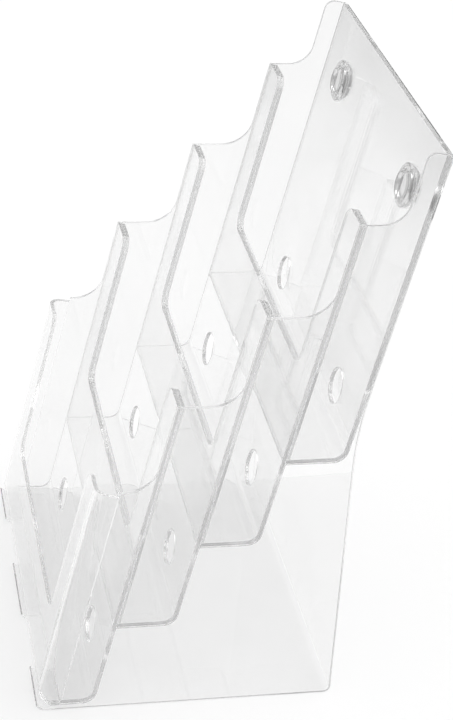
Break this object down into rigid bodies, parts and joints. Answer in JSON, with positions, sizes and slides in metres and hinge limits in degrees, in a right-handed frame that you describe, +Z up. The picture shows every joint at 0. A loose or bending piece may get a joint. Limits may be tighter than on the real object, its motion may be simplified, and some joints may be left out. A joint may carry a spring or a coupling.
{
  "type": "magazine rack",
  "caption": "Clear stepped counter rack whose leaning pockets climb to the back and hold magazines face forward on a bent sheet stand.",
  "frame": {"origin": "middle of the stand's footprint, on the surface that it stands on", "axes": "+Z up, the pockets open towards -Y, X across the width with +X on the right when the rack is seen from its front"},
  "size_m": [0.236, 0.214, 0.3669],
  "materials": {
    "clear_panel_sheet": "polished clear acrylic sheet",
    "clear_tray_sheet": "polished clear acrylic sheet",
    "clear_stand_sheet": "polished clear acrylic sheet, bent",
    "clear_plug": "moulded clear plastic",
    "clear_pin": "moulded clear plastic"
  },
  "bodies": {
    "root": {"side_panel_left": "clear_panel_sheet", "side_panel_right": "clear_panel_sheet", "front_wall": "clear_tray_sheet", "pocket_tray_1": "clear_tray_sheet", "pocket_tray_2": "clear_tray_sheet", "pocket_tray_3": "clear_tray_sheet", "pocket_tray_4": "clear_tray_sheet", "pocket_liner_2": "clear_tray_sheet", "pocket_liner_3": "clear_tray_sheet", "pocket_liner_4": "clear_tray_sheet", "stand": "clear_stand_sheet", "snap_plug_left": "clear_plug", "plug_pin_left": "clear_pin", "snap_plug_right": "clear_plug", "plug_pin_right": "clear_pin"}
  },
  "joints": []
}
